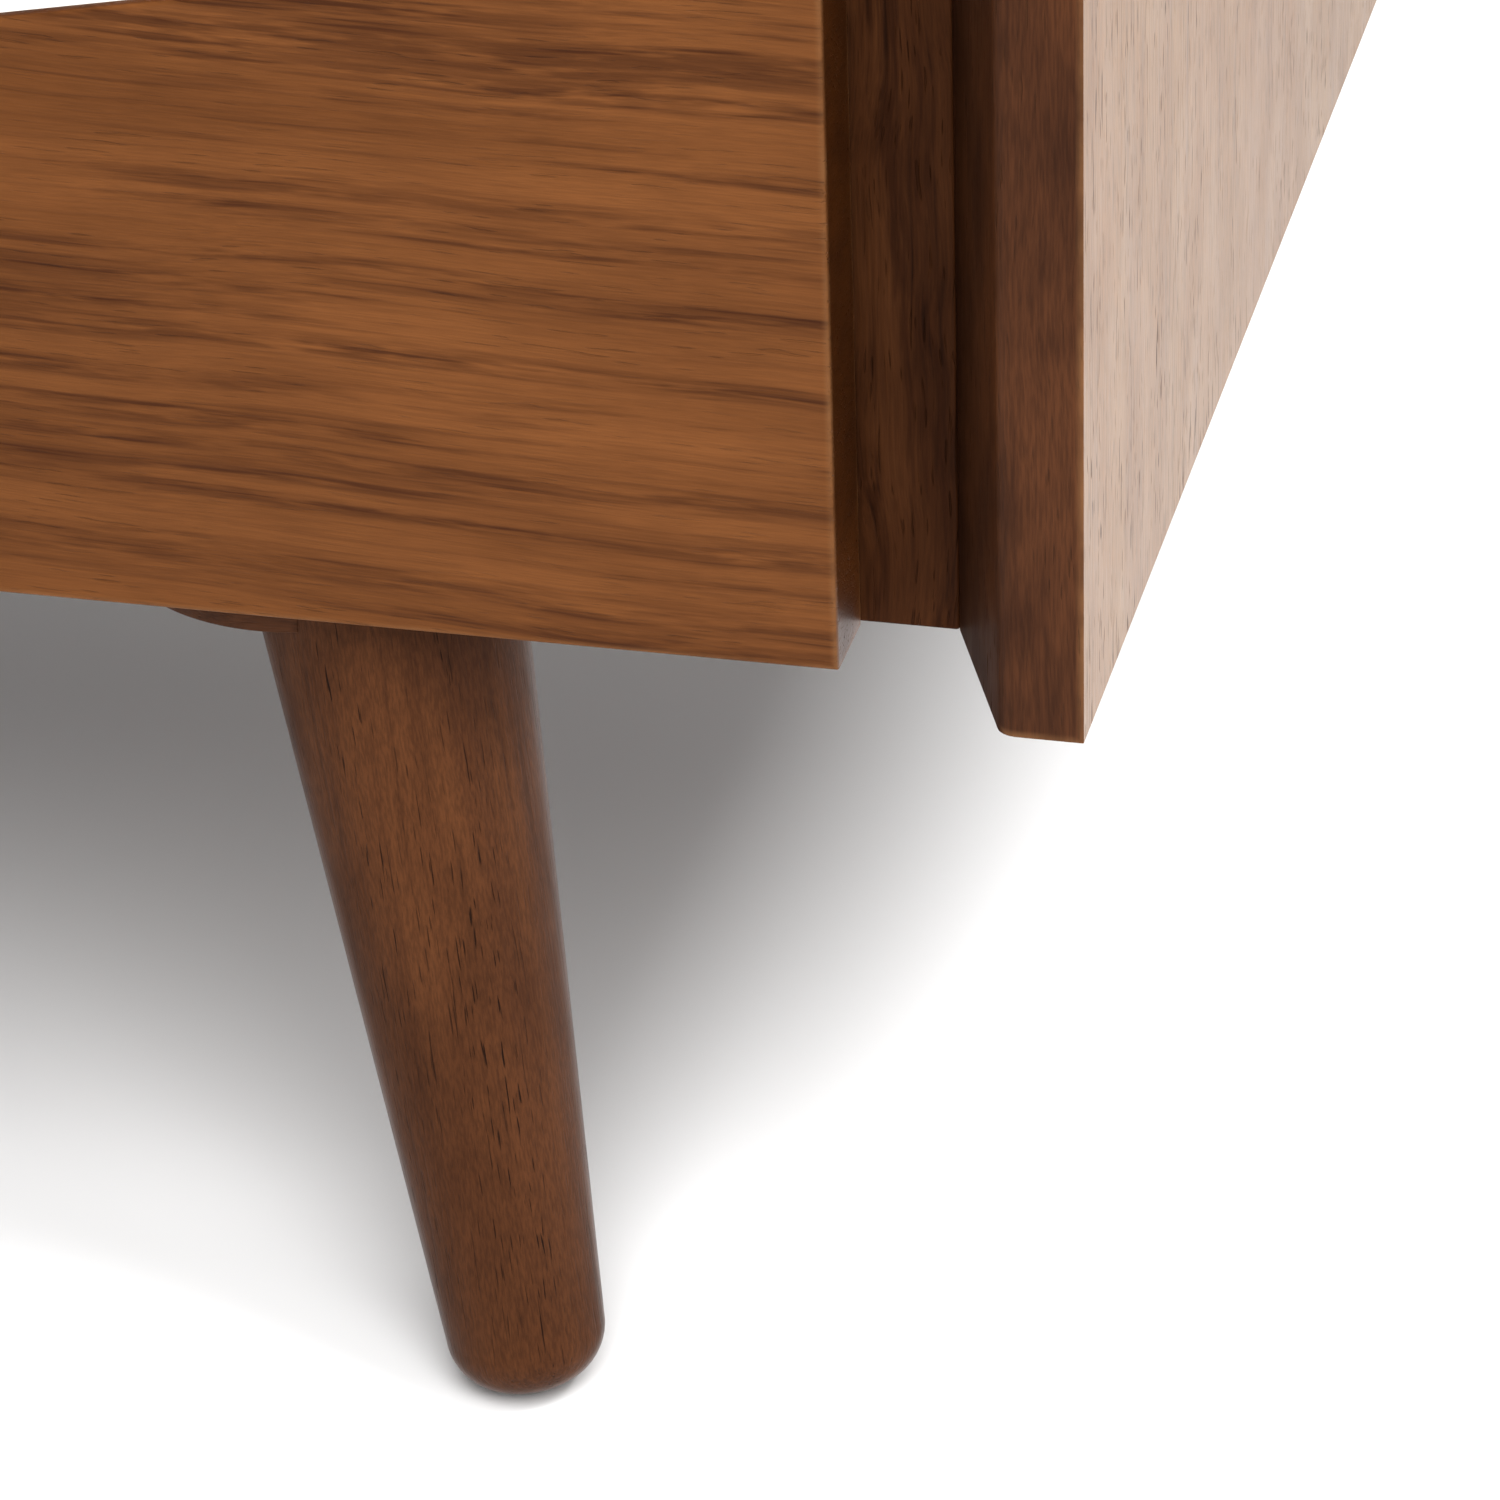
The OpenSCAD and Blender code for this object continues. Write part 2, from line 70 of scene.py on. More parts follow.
# ---- Shapes that the boxes don't give --------------------------------------------------------------
EDGE_T = 14 * MM            # thickness left at the bevelled front edge of the sides and the top
BEVEL_D = 34 * MM           # depth of that bevel
BACK_T = 6 * MM             # back panel, let into a rebate
BACK_LAP = 8 * MM
LIP_T = 2 * MM              # in front of the bevel behind the drawer front's top edge
SPLAY = 10.2                # of a leg, both from the front and from the side, in degrees

# ---- Edges: radii and angles -----------------------------------------------------------------------
NOSE_R = 2.4 * MM           # where the bevel meets the front edge
FOOT_R = 2.2 * MM           # under the sides, seen from the front
ARRIS_R = 0.9 * MM          # all other edges of the sides and the top, and the drawer front's face
HIND_R = 0.5 * MM           # the drawer front's edges behind its face
STILE_R = 0.6 * MM
DISC_R = 1.2 * MM
WEAR_AND_HIGHLIGHT_W = 1.6 * MM           # how far the wear and the painted highlight reach from an edge
ROUNDED_OVER = 25           # degrees of turn above which an edge is rounded
BEVEL_OVER = 5              # the same, to find the shallow corner of a bevel
SHADED_OVER = 35            # degrees above which an edge is shaded as a sharp one
EASED_OVER = 30             # degrees above which a bevel modifier eases an edge
SLACK = 0.05 * MM           # how far off its plane a point may be
SAME_POINT = 0.01 * MM      # how far apart points of a CAD mesh may be and still be one

# ---- Paint box, as sRGB ----------------------------------------------------------------------------
WALNUT = {"light": (104, 62, 30), "mid": (87, 50, 22), "dark": (60, 31, 12), "line": (48, 22, 8)}
# walnut of the sides and the top, painted lighter than the drawer front's walnut: painted light for the
# brightly lit outer side
CASE_VENEER_PAINTED_LIGHT = {"light": (116, 84, 50), "mid": (112, 78, 45), "dark": (95, 61, 31), "line": (50, 28, 14)}
STAINED = {"light": (68, 38, 20), "mid": (58, 31, 15), "dark": (44, 22, 10), "line": (24, 10, 5)}
FRONT_EDGE = {"light": (80, 42, 14), "dark": (56, 27, 8), "line": (30, 13, 4)}
STILE = {"light": (66, 37, 18), "mid": (54, 28, 12), "dark": (36, 16, 6), "line": (22, 9, 4)}
LEG_STAIN = {"light": (78, 45, 23), "mid": (68, 38, 19), "dark": (52, 27, 12), "line": (20, 8, 3)}
BIRCH = {"light": (178, 150, 112), "mid": (168, 138, 98), "dark": (152, 120, 82), "line": (124, 92, 58)}
PLYWOOD = {"light": (130, 88, 56), "mid": (112, 73, 45), "dark": (94, 58, 35), "line": (72, 42, 24)}
# lighter tone on the arrises: partly wear, partly a painted highlight where the edges catch the light
WORN_AND_HIGHLIGHT = (126, 88, 56)
LACQUER = (240, 238, 233)
ZINC = (186, 189, 194)
NYLON = (226, 225, 218)
RUBBER = (34, 34, 35)
FLOOR = (232, 232, 232)

# ---- Figure ----------------------------------------------------------------------------------------
# A name that ends in _at says how many features there are a metre, along, across and through the
# grain. A name that ends in _ink says how strong they are, from 0 to 1.
Figure = namedtuple("Figure", "bands_at lines_at pores_at fibres_at "
                              "line_ink pore_ink cloud_ink fibre_ink")
FIGURES = {
    "front": Figure((3, 40, 40), (4, 210, 90), (90, 1300, 1300), (90, 2600, 2600),
                    line_ink=0.75, pore_ink=0.15, cloud_ink=0.25, fibre_ink=0.08),
    "side": Figure((3, 30, 30), (5, 130, 90), (130, 1500, 1500), (160, 2400, 2400),
                   line_ink=0.4, pore_ink=1.0, cloud_ink=0.25, fibre_ink=0.2),
    "plain": Figure((3, 40, 40), (6, 170, 90), (110, 1400, 1400), (90, 2600, 2600),
                    line_ink=0.6, pore_ink=0.4, cloud_ink=0.3, fibre_ink=0.12),
    "bold": Figure((9, 110, 110), (9, 200, 200), (110, 1400, 1400), (90, 2600, 2600),
                   line_ink=0.8, pore_ink=0.4, cloud_ink=0.4, fibre_ink=0.12),
    "leg": Figure((5, 90, 90), (6, 150, 150), (110, 2500, 2500), (420, 2200, 2200),
                  line_ink=0.3, pore_ink=1.0, cloud_ink=0.6, fibre_ink=0.2),
}
TEARS_AT = (40, 420, 420)       # where a growth line breaks off
HAIRS_AT = (22, 900, 500)
PORE_ZONES_AT = (9, 90, 90)
CLOUDS_AT = (28, 60, 60)
LONG_WAVES_AT = (5, 7, 7)
SHORT_WAVES_AT = (24, 40, 40)
# patches along the edges, in the wear and in the painted highlight
EDGE_PATCHES_AT = (60, 60, 60)
WOOD_RELIEF = 0.18 * MM

# The colour and gloss fields of one wood, each from 0 to 1
Growth = namedtuple("Growth", "bands lines hairs fibres pores cloud")
# A veneered board: only the face that looks along outward is veneered, the edges are solid wood
Lipping = namedtuple("Lipping", "outward edge_tones face_coat edge_coat")


def linear(rgb):
    """An sRGB colour, 0 to 255, as linear RGBA."""
    parts = [c / 255 for c in rgb]
    return tuple(c / 12.92 if c <= 0.04045 else ((c + 0.055) / 1.055) ** 2.4 for c in parts) + (1.0,)


def all_linear(tones):
    return {key: linear(rgb) for key, rgb in tones.items()}


# ---- Shader nodes ----------------------------------------------------------------------------------

def new_material(name):
    """A material without nodes, and its tree."""
    material = bpy.data.materials.new(name)
    material.use_nodes = True
    material.node_tree.nodes.clear()
    return material, material.node_tree


def node(tree, kind, inputs=None, **settings):
    """Adds a shader node. inputs maps a socket's name or number to a value or to another socket."""
    made = tree.nodes.new(kind)
    for key, value in settings.items():
        setattr(made, key, value)
    for key, value in (inputs or {}).items():
        if isinstance(value, bpy.types.NodeSocket):
            tree.links.new(value, made.inputs[key])
        else:
            made.inputs[key].default_value = value
    return made


def calc(tree, operation, a, b, clamp=False):
    made = node(tree, "ShaderNodeMath", {0: a, 1: b}, operation=operation, use_clamp=clamp)
    return made.outputs[0]


def times(tree, a, b, clamp=False):
    return calc(tree, "MULTIPLY", a, b, clamp)


def plus(tree, a, b, clamp=False):
    return calc(tree, "ADD", a, b, clamp)


def minus(tree, a, b):
    return calc(tree, "SUBTRACT", a, b)


def vector_calc(tree, operation, a, b):
    return node(tree, "ShaderNodeVectorMath", {0: a, 1: b}, operation=operation).outputs["Vector"]


def dot(tree, a, b):
    return node(tree, "ShaderNodeVectorMath", {0: a, 1: b}, operation="DOT_PRODUCT").outputs["Value"]


def ramp(tree, value, low, high, start=0.0, end=1.0):
    """Smoothly takes value from low..high to start..end."""
    inputs = {"Value": value, "From Min": low, "From Max": high, "To Min": start, "To Max": end}
    return node(tree, "ShaderNodeMapRange", inputs, interpolation_type="SMOOTHSTEP").outputs["Result"]


def mix(tree, factor, a, b, blend="MIX"):
    """A colour between a and b. 6 and 7 are the node's colour sockets."""
    made = node(tree, "ShaderNodeMix", {0: factor, 6: a, 7: b}, data_type="RGBA", blend_type=blend)
    return made.outputs[2]


def noise(tree, point, scale, detail=2.0, roughness=0.5, seed=0.0):
    """Fractal noise, scale being its features per metre along, across and through the grain."""
    shift = (seed * 7.31, seed * 3.77, seed * 5.13)
    place = vector_calc(tree, "ADD", vector_calc(tree, "MULTIPLY", point, scale), shift)
    inputs = {"Vector": place, "Scale": 1.0, "Detail": detail, "Roughness": roughness}
    return node(tree, "ShaderNodeTexNoise", inputs).outputs[0]


def object_point(tree):
    return node(tree, "ShaderNodeTexCoord").outputs["Object"]


def object_normal(tree):
    return node(tree, "ShaderNodeTexCoord").outputs["Normal"]


def finish_surface(tree, color, roughness, relief, relief_depth, coat=0.0, metallic=0.0, specular=0.5):
    """The shader itself. Values that are the same all over are set on its own sockets."""
    shader = node(tree, "ShaderNodeBsdfPrincipled", {"Base Color": color, "Roughness": roughness,
                                                     "Metallic": metallic, "Coat Weight": coat,
                                                     "Coat Roughness": 0.3,
                                                     "Specular IOR Level": specular})
    bump = node(tree, "ShaderNodeBump", {"Height": relief, "Strength": 1.0, "Distance": relief_depth})
    tree.links.new(bump.outputs["Normal"], shader.inputs["Normal"])
    tree.links.new(bump.outputs["Normal"], shader.inputs["Coat Normal"])
    output = node(tree, "ShaderNodeOutputMaterial")
    tree.links.new(shader.outputs["BSDF"], output.inputs["Surface"])


# ---- Wood ------------------------------------------------------------------------------------------

def grain_point(tree, grain, turn=None):
    """The surface point as (along, across, through) the grain. grain names the axes in that order."""
    point = object_point(tree)
    if turn is not None:
        inputs = {"Vector": point, "Rotation": turn}
        point = node(tree, "ShaderNodeVectorRotate", inputs, rotation_type="EULER_XYZ",
                     invert=True).outputs["Vector"]
    axes = node(tree, "ShaderNodeSeparateXYZ", {0: point}).outputs
    order = {"x": axes[0], "y": axes[1], "z": axes[2]}
    return node(tree, "ShaderNodeCombineXYZ", {i: order[a] for i, a in enumerate(grain)}).outputs[0]


def bent(tree, point, sway, seed):
    """Moves the point across the grain, so that straight figure turns into slow waves."""
    long_wave = minus(tree, noise(tree, point, LONG_WAVES_AT, 1.0, seed=seed + 1), 0.5)
    short_wave = minus(tree, noise(tree, point, SHORT_WAVES_AT, 1.0, seed=seed + 2), 0.5)
    shift = plus(tree, times(tree, long_wave, sway), times(tree, short_wave, sway * 0.15))
    offset = node(tree, "ShaderNodeCombineXYZ", {0: 0.0, 1: shift, 2: shift}).outputs[0]
    return vector_calc(tree, "ADD", point, offset)


def growth(tree, straight, sway, figure, seed):
    """The fields that a wood's colour, gloss and relief share.

    A ramp's first two numbers are the noise values between which its feature grows to full strength.
    """
    point = bent(tree, straight, sway, seed)
    bands = ramp(tree, noise(tree, point, figure.bands_at, 3.0, 0.55, seed), 0.32, 0.68)
    lines = ramp(tree, noise(tree, point, figure.lines_at, 4.0, 0.55, seed + 3), 0.43, 0.64)
    torn = ramp(tree, noise(tree, point, TEARS_AT, 3.0, 0.6, seed + 4), 0.32, 0.58)
    hairs = ramp(tree, noise(tree, point, HAIRS_AT, 2.0, 0.5, seed + 10), 0.5, 0.7)
    fibres = noise(tree, point, figure.fibres_at, 2.0, 0.6, seed + 5)
    specks = ramp(tree, noise(tree, point, figure.pores_at, 1.0, 0.5, seed + 6), 0.64, 0.73)
    zones = ramp(tree, noise(tree, point, PORE_ZONES_AT, 2.0, 0.5, seed + 7), 0.35, 0.65, 0.2, 1.0)
    cloud = noise(tree, straight, CLOUDS_AT, 3.0, 0.55, seed + 8)
    return Growth(bands, times(tree, lines, torn), hairs, fibres, times(tree, specks, zones), cloud)


def face_color(tree, grown, figure, tone):
    """Slow bands and clouds, then the growth lines, darkest where a hair runs through them."""
    line_shade = times(tree, grown.lines, figure.line_ink)
    clouded = times(tree, ramp(tree, grown.cloud, 0.35, 0.7), figure.cloud_ink)
    color = mix(tree, grown.bands, tone["mid"], tone["light"])
    color = mix(tree, clouded, color, tone["dark"])
    color = mix(tree, times(tree, grown.hairs, 0.3 * figure.line_ink), color, tone["dark"])
    color = mix(tree, line_shade, color, tone["dark"])
    return mix(tree, times(tree, line_shade, grown.hairs), color, tone["line"])


def edge_color(tree, grown, tone):
    """Solid edge wood: clouds and a few hairs."""
    color = mix(tree, ramp(tree, grown.cloud, 0.25, 0.8), tone["light"], tone["dark"])
    return mix(tree, times(tree, grown.hairs, 0.25), color, tone["line"])


def edge_wear_and_highlight(tree, box):
    """Wear and painted highlight: 1 along a box's arrises, 0 from the band's width in, patchy."""
    low, high = box
    point = object_point(tree)
    inset = vector_calc(tree, "MINIMUM", vector_calc(tree, "SUBTRACT", point, tuple(low)),
                        vector_calc(tree, "SUBTRACT", tuple(high), point))
    a, b, c = node(tree, "ShaderNodeSeparateXYZ", {0: inset}).outputs
    nearest = calc(tree, "MINIMUM", a, b)
    further = calc(tree, "MINIMUM", calc(tree, "MAXIMUM", a, b), c)
    to_edge = calc(tree, "MAXIMUM", nearest, further)
    patchy = ramp(tree, noise(tree, point, EDGE_PATCHES_AT, 4.0, 0.6, 9.0), 0.35, 0.65, 0.35, 1.0)
    return times(tree, ramp(tree, to_edge, 0.0, WEAR_AND_HIGHLIGHT_W, 1.0, 0.0), patchy)


def wood(name, grain, tones, seed, turn=None, box=None, lipping=None, figure="plain", sway=0.012,
         rough=0.45, specular=0.05, gloss_rim=0.0):
    """Oiled wood: slow bands, dark growth lines, fibres and short pores, all along the grain.

    turn is a rotation of the grain. box is the piece's own box, for the wear and painted highlight
    along its edges. sway is how far the figure waves. gloss_rim is the coat where the surface
    turns away from the eye.
    """
    figure = FIGURES[figure]
    tone = all_linear(tones)
    material, tree = new_material(name)
    grown = growth(tree, grain_point(tree, grain, turn), sway, figure, seed)
    color = face_color(tree, grown, figure, tone)
    coat = 0.0
    if gloss_rim:
        facing = node(tree, "ShaderNodeLayerWeight", {"Blend": 0.5}).outputs["Facing"]
        coat = ramp(tree, facing, 0.6, 1.0, 0.0, gloss_rim)
    if lipping is not None:
        face = ramp(tree, dot(tree, object_normal(tree), lipping.outward), 0.4, 0.75)
        color = mix(tree, face, edge_color(tree, grown, all_linear(lipping.edge_tones)), color)
        coat = ramp(tree, face, 0.0, 1.0, lipping.edge_coat, lipping.face_coat)
        coat = times(tree, coat, ramp(tree, grown.pores, 0.0, 1.0, 1.0, 0.3))
    color = mix(tree, times(tree, grown.pores, figure.pore_ink, clamp=True), color, tone["line"])
    shade = ramp(tree, grown.fibres, 0.3, 0.7, 1 - figure.fibre_ink, 1 + figure.fibre_ink)
    grey = node(tree, "ShaderNodeCombineColor", {0: shade, 1: shade, 2: shade}).outputs[0]
    color = mix(tree, 1.0, color, grey, "MULTIPLY")
    dull_spots = times(tree, ramp(tree, grown.cloud, 0.3, 0.7), 0.1)
    roughness = plus(tree, plus(tree, dull_spots, rough - 0.05), times(tree, grown.pores, 0.2),
                     clamp=True)
    if box is not None:
        # lighter, rougher arrises: partly wear, partly a painted highlight where the edges catch the
        # light
        worn_and_highlit = times(tree, edge_wear_and_highlight(tree, box), 0.5)
        color = mix(tree, worn_and_highlit, color, linear(WORN_AND_HIGHLIGHT))
        roughness = plus(tree, roughness, times(tree, worn_and_highlit, 0.15), clamp=True)
    hollows = plus(tree, grown.pores, times(tree, grown.hairs, 0.15))
    relief = minus(tree, times(tree, grown.fibres, 0.35), hollows)
    finish_surface(tree, color, roughness, relief, WOOD_RELIEF, coat, specular=specular)
    return material


def plain(name, rgb, rough, grit=0.04, spread=0.06, metallic=0.0, coat=0.0, brushed=(900, 900, 900)):
    """A smooth manufactured finish with fine mottling.

    grit is the depth of its relief in mm, spread how much its tone varies, and brushed how many
    scratches there are a metre along X, Y and Z.
    """
    material, tree = new_material(name)
    point = object_point(tree)
    fine = noise(tree, point, brushed, 3.0, 0.6)
    wide = noise(tree, point, (30, 30, 30), 3.0, 0.55, 4.0)
    darker = tuple(c * (1 - spread) for c in linear(rgb)[:3]) + (1.0,)
    color = mix(tree, ramp(tree, wide, 0.3, 0.7), linear(rgb), darker)
    roughness = plus(tree, times(tree, minus(tree, fine, 0.5), 0.3),
                     plus(tree, times(tree, wide, 0.1), rough - 0.05), clamp=True)
    finish_surface(tree, color, roughness, fine, grit * MM, coat, metallic)
    return material


def dress(names, material):
    """Gives CAD nodes a material."""
    for name in names:
        for slot in NODES[name].material_slots:
            slot.material = material


# ---- Pieces made in mesh code ----------------------------------------------------------------------

def to_object(name, mesh_maker, material, node_name, body):
    """Turns a bmesh into a smooth-shaded piece that stands for a CAD node."""
    mesh = bpy.data.meshes.new(name)
    bmesh.ops.recalc_face_normals(mesh_maker, faces=mesh_maker.faces)
    for face in mesh_maker.faces:
        face.smooth = True
    for edge in mesh_maker.edges:
        edge.smooth = edge.calc_face_angle(0.0) < math.radians(SHADED_OVER)
    mesh_maker.to_mesh(mesh)
    mesh_maker.free()
    piece = bpy.data.objects.new(name, mesh)
    bpy.context.scene.collection.objects.link(piece)
    mesh.materials.append(material)
    even = piece.modifiers.new("even_normals", "WEIGHTED_NORMAL")
    even.keep_sharp = True
    even.weight = 100
    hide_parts(node_name)
    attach(piece, body)
    return piece


def loft(rings):
    """A closed bmesh skin over rings of the same number of points."""
    maker = bmesh.new()
    rows = [[maker.verts.new(p) for p in ring] for ring in rings]
    maker.faces.new(reversed(rows[0]))
    maker.faces.new(rows[-1])
    count = len(rows[0])
    for near_row, far_row in zip(rows, rows[1:]):
        for i in range(count):
            j = (i + 1) % count
            maker.faces.new((near_row[i], near_row[j], far_row[j], far_row[i]))
    bmesh.ops.recalc_face_normals(maker, faces=maker.faces)
    return maker


def prism(outline, place, low, high):
    """A bmesh prism: outline is a list of 2D points, place(u, v, w) puts a point in the frame."""
    return loft([[place(u, v, w) for u, v in outline] for w in (low, high)])


def near(value, target, slack=MM):
    return abs(value - target) < slack


def on_plane(edge, point, normal):
    return all(near((v.co - point).dot(normal), 0, SLACK) for v in edge.verts)


def sharp_edges(maker, planes=(), over=ROUNDED_OVER):
    """Edges that turn by more than over degrees, except those that lie in one of the planes."""
    return [e for e in maker.edges
            if len(e.link_faces) == 2 and e.calc_face_angle() > math.radians(over)
            and not any(on_plane(e, *plane) for plane in planes)]


def edges_where(edges, test):
    """The edges whose ends both pass the test."""
    return [e for e in edges if all(test(v.co) for v in e.verts)]


def round_edges(maker, edges, radius, steps=3):
    bmesh.ops.bevel(maker, geom=edges, offset=radius, segments=steps, profile=0.5, affect="EDGES",
                    clamp_overlap=True)


def cut_mitre(maker, corner, direction):
    """Cuts everything beyond the plane through a corner, closes the cut and returns the plane."""
    normal = Vector(direction).normalized()
    everything = maker.verts[:] + maker.edges[:] + maker.faces[:]
    cut = bmesh.ops.bisect_plane(maker, geom=everything, plane_co=corner, plane_no=normal,
                                 clear_outer=True)
    rim = [e for e in cut["geom_cut"] if isinstance(e, bmesh.types.BMEdge)]
    bmesh.ops.contextual_create(maker, geom=rim)
    return corner, normal


def side_panel(name, material):
    """A side of the case, mitred at the top, bevelled inside at the front."""
    low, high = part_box(name)
    sign = 1 if high.x > 0 else -1
    outer = max(abs(low.x), abs(high.x))
    inner = min(abs(low.x), abs(high.x))
    outline = [(outer, low.y), (outer, high.y), (inner + BACK_LAP, high.y),
               (inner + BACK_LAP, high.y - BACK_T), (inner, high.y - BACK_T),
               (inner, low.y + BEVEL_D), (outer - EDGE_T, low.y)]
    maker = prism(outline, lambda u, v, w: Vector((sign * u, v, w)), low.z, high.z)
    mitres = [cut_mitre(maker, Vector((sign * outer, 0, high.z)), (-sign, 0, 1))]
    nose = edges_where(sharp_edges(maker, mitres, BEVEL_OVER),
                       lambda p: near(abs(p.x), outer - EDGE_T) and near(p.y, low.y))
    round_edges(maker, nose, NOSE_R, 4)
    foot = [e for e in edges_where(sharp_edges(maker, mitres), lambda p: near(p.z, low.z, SLACK))
            if not near(e.verts[0].co.y, e.verts[1].co.y, 5 * MM)]
    round_edges(maker, foot, FOOT_R, 4)
    round_edges(maker, sharp_edges(maker, mitres), ARRIS_R)
    return to_object(name + "_panel", maker, material, name, "case")


def top_panel(material):
    """The top, mitred at both ends, bevelled below at the front."""
    low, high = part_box("top_panel")
    outline = [(low.y, high.z), (low.y, high.z - EDGE_T), (low.y + BEVEL_D, low.z),
               (high.y - BACK_T, low.z), (high.y - BACK_T, low.z + BACK_LAP),
               (high.y, low.z + BACK_LAP), (high.y, high.z)]
    maker = prism(outline, lambda u, v, w: Vector((w, u, v)), low.x, high.x)
    mitres = [cut_mitre(maker, Vector((sign * high.x, 0, high.z)), (sign, 0, -1)) for sign in (-1, 1)]
    nose = edges_where(sharp_edges(maker, mitres, BEVEL_OVER),
                       lambda p: near(p.z, high.z - EDGE_T) and near(p.y, low.y))
    round_edges(maker, nose, NOSE_R, 4)
    round_edges(maker, sharp_edges(maker, mitres), ARRIS_R)
    return to_object("top_board", maker, material, "top_panel", "case")


def drawer_front(material):
    """The drawer front: its dip is the CAD node's own rim, and the edge is bevelled behind a lip."""
    low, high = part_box("drawer_front")
    rim = {(round(v.co.x, 6), round(v.co.z, 6)) for v in NODES["drawer_front"].data.vertices
           if near(v.co.y, low.y, SAME_POINT)}
    top = sorted(((x, z) for x, z in rim if z > low.z + 10 * MM), reverse=True)
    foot = [(low.x, low.z), (high.x, low.z)]

    def ring(y, drop):
        return [Vector((x, y, z)) for x, z in foot + [(x, z - drop) for x, z in top]]

    bevel_fall = high.y - low.y - LIP_T
    maker = loft([ring(low.y, 0), ring(low.y + LIP_T, 0), ring(high.y, bevel_fall)])
    face_rim = edges_where(sharp_edges(maker), lambda p: p.y < low.y + SAME_POINT)
    round_edges(maker, face_rim, ARRIS_R)
    round_edges(maker, sharp_edges(maker), HIND_R)
    return to_object("drawer_face", maker, material, "drawer_front", "drawer")


def soften(name, radius):
    """Eases the edges of a CAD node that has no bores."""
    piece = NODES[name]
    weld = piece.modifiers.new("weld", "WELD")
    weld.merge_threshold = SAME_POINT
    ease = piece.modifiers.new("ease", "BEVEL")
    ease.width = radius
    ease.segments = 2
    ease.limit_method = "ANGLE"
    ease.angle_limit = math.radians(EASED_OVER)
    ease.harden_normals = True


# ---- The table -------------------------------------------------------------------------------------

def build_case():
    for side, sign in (("left", -1), ("right", 1)):
        panel = f"side_panel_{side}"
        # the sides' veneer carries painted light: it is lighter than the front's walnut, as if brightly
        # lit
        veneer = wood(f"walnut_side_{side}", "zyx", CASE_VENEER_PAINTED_LIGHT, seed=11 + sign, box=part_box(panel),
                      figure="side", lipping=Lipping((sign, 0, 0), STAINED, 0.5, 0.0))
        side_panel(panel, veneer)
        stile = f"stile_{side}"
        dress([stile], wood(f"walnut_stile_{side}", "zxy", STILE, seed=21 + sign, figure="bold",
                            sway=0.05, specular=0.02))
        soften(stile, STILE_R)
    # the top shares the sides' veneer with its painted light
    top_panel(wood("walnut_top", "xyz", CASE_VENEER_PAINTED_LIGHT, seed=14, box=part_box("top_panel"), figure="front",
                   lipping=Lipping((0, 0, 1), STAINED, 0.3, 0.0)))
    dress(["top_rail"], wood("walnut_rail", "xzy", STAINED, seed=25, figure="bold"))
    soften("top_rail", STILE_R)
    dress(["bottom_panel"], wood("walnut_bottom", "xyz", STAINED, seed=28))
    dress(["back_panel"], wood("walnut_back", "zxy", PLYWOOD, seed=31, box=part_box("back_panel"),
                               rough=0.6))


def build_niche():
    lacquer = plain("white_lacquer", LACQUER, 0.36, grit=0.015, spread=0.02, coat=0.3)
    dress(["niche_floor", "niche_liner_left", "niche_liner_right", "niche_ceiling", "niche_back"],
          lacquer)


def build_legs():
    """Each leg leans outwards along its diagonal, and its grain follows the leg part of the way."""
    lean = math.atan(math.sqrt(2) * math.tan(math.radians(SPLAY)))
    places = {"front_left": (-1, -1), "front_right": (1, -1), "rear_left": (-1, 1), "rear_right": (1, 1)}
    for i, (place, (right, back)) in enumerate(places.items()):
        turn = Matrix.Rotation(math.atan2(back, right), 3, "Z") @ Matrix.Rotation(-0.6 * lean, 3, "Y")
        dress([f"leg_{place}"], wood(f"leg_wood_{place}", "zxy", LEG_STAIN, seed=40 + i, figure="leg",
                                     turn=tuple(turn.to_euler()), sway=0.004, gloss_rim=0.5))
        disc = f"leg_disc_{place}"
        dress([disc], wood(f"disc_wood_{place}", "xyz", LEG_STAIN, seed=50 + i))
        soften(disc, DISC_R)


def build_drawer():
    drawer_front(wood("walnut_front", "xzy", WALNUT, seed=3, box=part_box("drawer_front"),
                      figure="front", turn=(0.0, math.radians(3.0), 0.0),
                      lipping=Lipping((0, -1, 0), FRONT_EDGE, 0.0, 0.3)))
    dress(["drawer_side_left", "drawer_side_right"],
          wood("birch_along", "yzx", BIRCH, seed=60, rough=0.5, specular=0.3))
    dress(["drawer_box_front", "drawer_back", "drawer_bottom", "drawer_dowels", "case_dowels",
           "mitre_splines", "slide_cleat_left", "slide_cleat_right"],
          wood("birch_across", "xyz", BIRCH, seed=63, rough=0.5, specular=0.3))


def build_fittings():
    steel = plain("slide_steel", ZINC, 0.32, grit=0.01, metallic=1.0, brushed=(2000, 40, 2000))
    dress([f"slide_{part}_{side}" for part in ("outer", "middle", "inner")
           for side in ("left", "right")], steel)
    dress(["leg_bolts", "leg_inserts", "disc_screws", "cleat_screws", "back_panel_screws",
           "case_slide_screws", "drawer_front_screws", "drawer_slide_screws"],
          plain("zinc_screws", ZINC, 0.3, grit=0.02, metallic=1.0))
    dress(["case_glides", "runner_glides_left", "runner_glides_right", "drawer_glides"],
          plain("nylon", NYLON, 0.5))
    dress(["drawer_bumpers"], plain("rubber", RUBBER, 0.75))


# ---- Studio ----------------------------------------------------------------------------------------

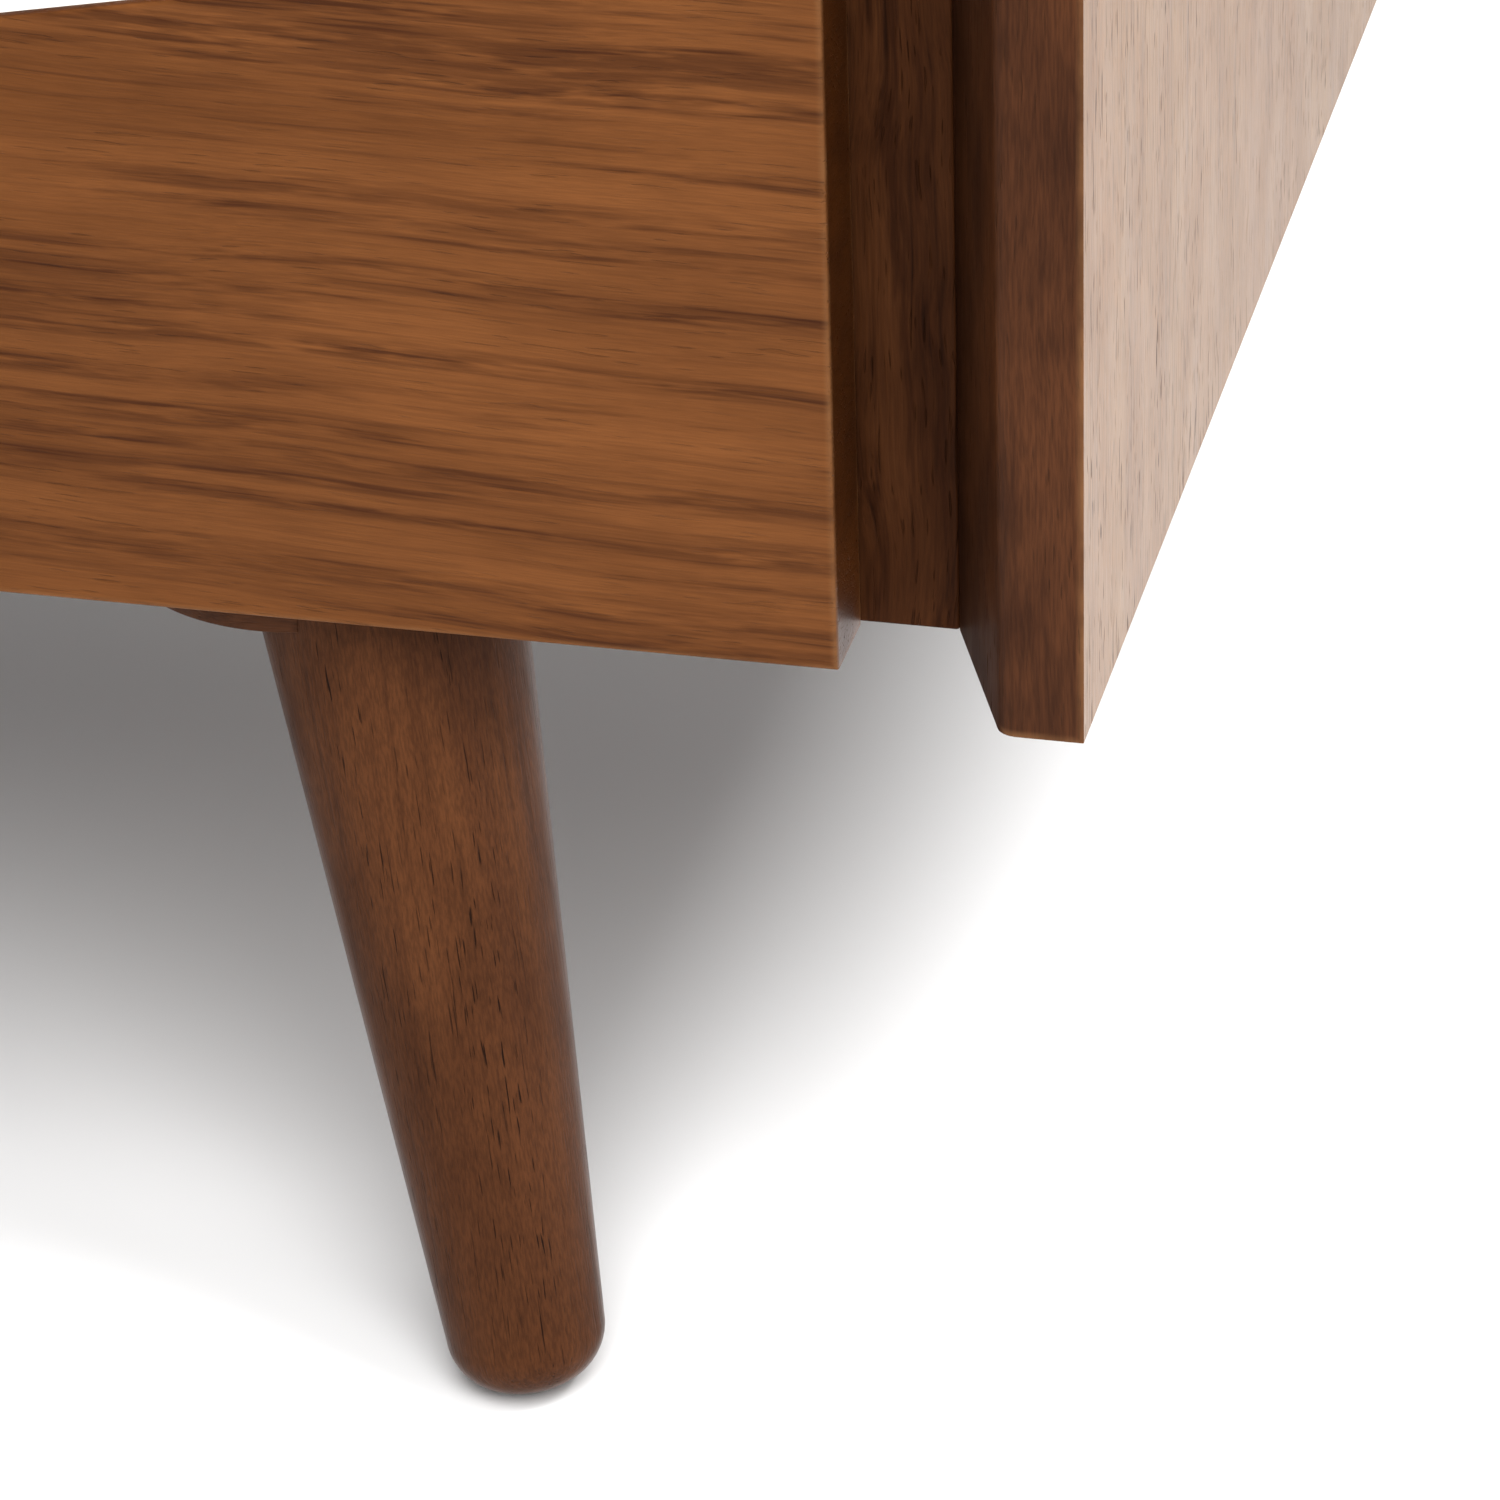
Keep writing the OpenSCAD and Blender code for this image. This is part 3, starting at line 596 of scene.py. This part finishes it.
def softbox(name, azimuth, elevation, distance, size, watts):
    """A square area light that looks at the table. Azimuth 0 is in front, 90 to the right."""
    a, e = math.radians(azimuth), math.radians(elevation)
    away = Vector((math.sin(a) * math.cos(e), -math.cos(a) * math.cos(e), math.sin(e)))
    light = bpy.data.lights.new(name, "AREA")
    light.shape = "SQUARE"
    light.size = size
    light.energy = watts
    lamp = bpy.data.objects.new(name, light)
    lamp.location = Vector(LIGHT_TARGET) + away * distance
    lamp.rotation_euler = away.to_track_quat("Z", "Y").to_euler()
    bpy.context.scene.collection.objects.link(lamp)


def build_floor():
    maker = bmesh.new()
    bmesh.ops.create_grid(maker, x_segments=1, y_segments=1, size=FLOOR_HALF)
    mesh = bpy.data.meshes.new("floor")
    maker.to_mesh(mesh)
    maker.free()
    floor = bpy.data.objects.new("floor", mesh)
    bpy.context.scene.collection.objects.link(floor)
    mesh.materials.append(plain("floor_paper", FLOOR, 0.9, grit=0.0, spread=0.0))


def build_lights():
    for name, settings in LIGHTS.items():
        softbox(name, *settings)
    world = bpy.data.worlds.new("studio")
    world.use_nodes = True
    sky = world.node_tree.nodes["Background"]
    sky.inputs["Color"].default_value = (1.0, 1.0, 1.0, 1.0)
    sky.inputs["Strength"].default_value = SKY_STRENGTH
    bpy.context.scene.world = world
    bpy.context.scene.view_settings.view_transform = "Standard"
    bpy.context.scene.view_settings.look = "None"


def build_camera():
    lens = bpy.data.cameras.new("camera")
    lens.lens = CAM_LENS
    lens.sensor_width = CAM_SENSOR
    lens.clip_start = 0.01
    camera = bpy.data.objects.new("camera", lens)
    camera.matrix_world = (Matrix.Translation(CAM_PLACE)
                           @ Matrix.Rotation(math.radians(CAM_AZIMUTH), 4, "Z")
                           @ Matrix.Rotation(math.radians(90 - CAM_ELEVATION), 4, "X")
                           @ Matrix.Rotation(math.radians(CAM_ROLL), 4, "Z"))
    bpy.context.scene.collection.objects.link(camera)
    bpy.context.scene.camera = camera


build_camera()
build_floor()
build_lights()
build_case()
build_niche()
build_legs()
build_drawer()
build_fittings()
